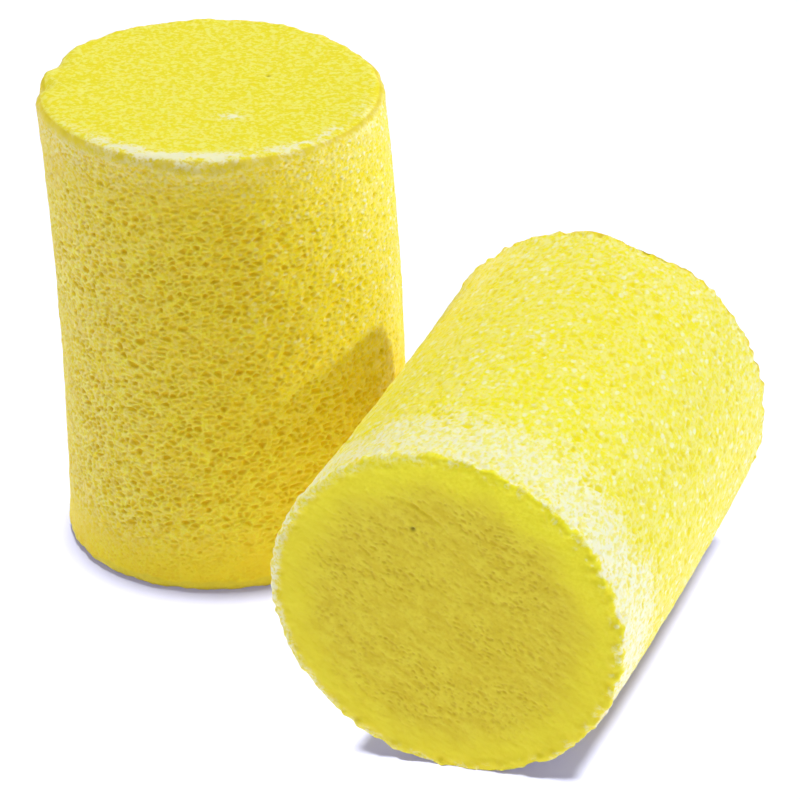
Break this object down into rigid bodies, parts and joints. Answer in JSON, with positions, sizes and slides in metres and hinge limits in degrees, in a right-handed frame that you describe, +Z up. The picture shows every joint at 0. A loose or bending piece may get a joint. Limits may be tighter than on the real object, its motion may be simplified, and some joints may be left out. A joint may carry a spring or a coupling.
{
  "type": "foam ear plugs",
  "caption": "Soft round slow-recovery foam ear plugs with open-cell cut sides and smooth skinned ends, loose, standing on end and lying on its side.",
  "frame": {"origin": "centre of the standing plug's base, on the surface that both plugs rest on", "axes": "+Z up along the standing plug's axis, -Y the front of the pair, +X towards the side where the other plug lies"},
  "size_m": [0.0273, 0.0315, 0.0186],
  "materials": {
    "foam": "soft open-cell PVC foam, matte with fine glints on the cell walls; smoother skin on the two ends"
  },
  "bodies": {
    "standing": {"standing_plug": "foam"},
    "lying": {"lying_plug": "foam"}
  },
  "joints": [
    {"name": "lying_plug_lift", "type": "slide", "parent": "standing", "child": "lying", "axis": [0, 0, 1], "range_m": [0, 0.03]}
  ]
}
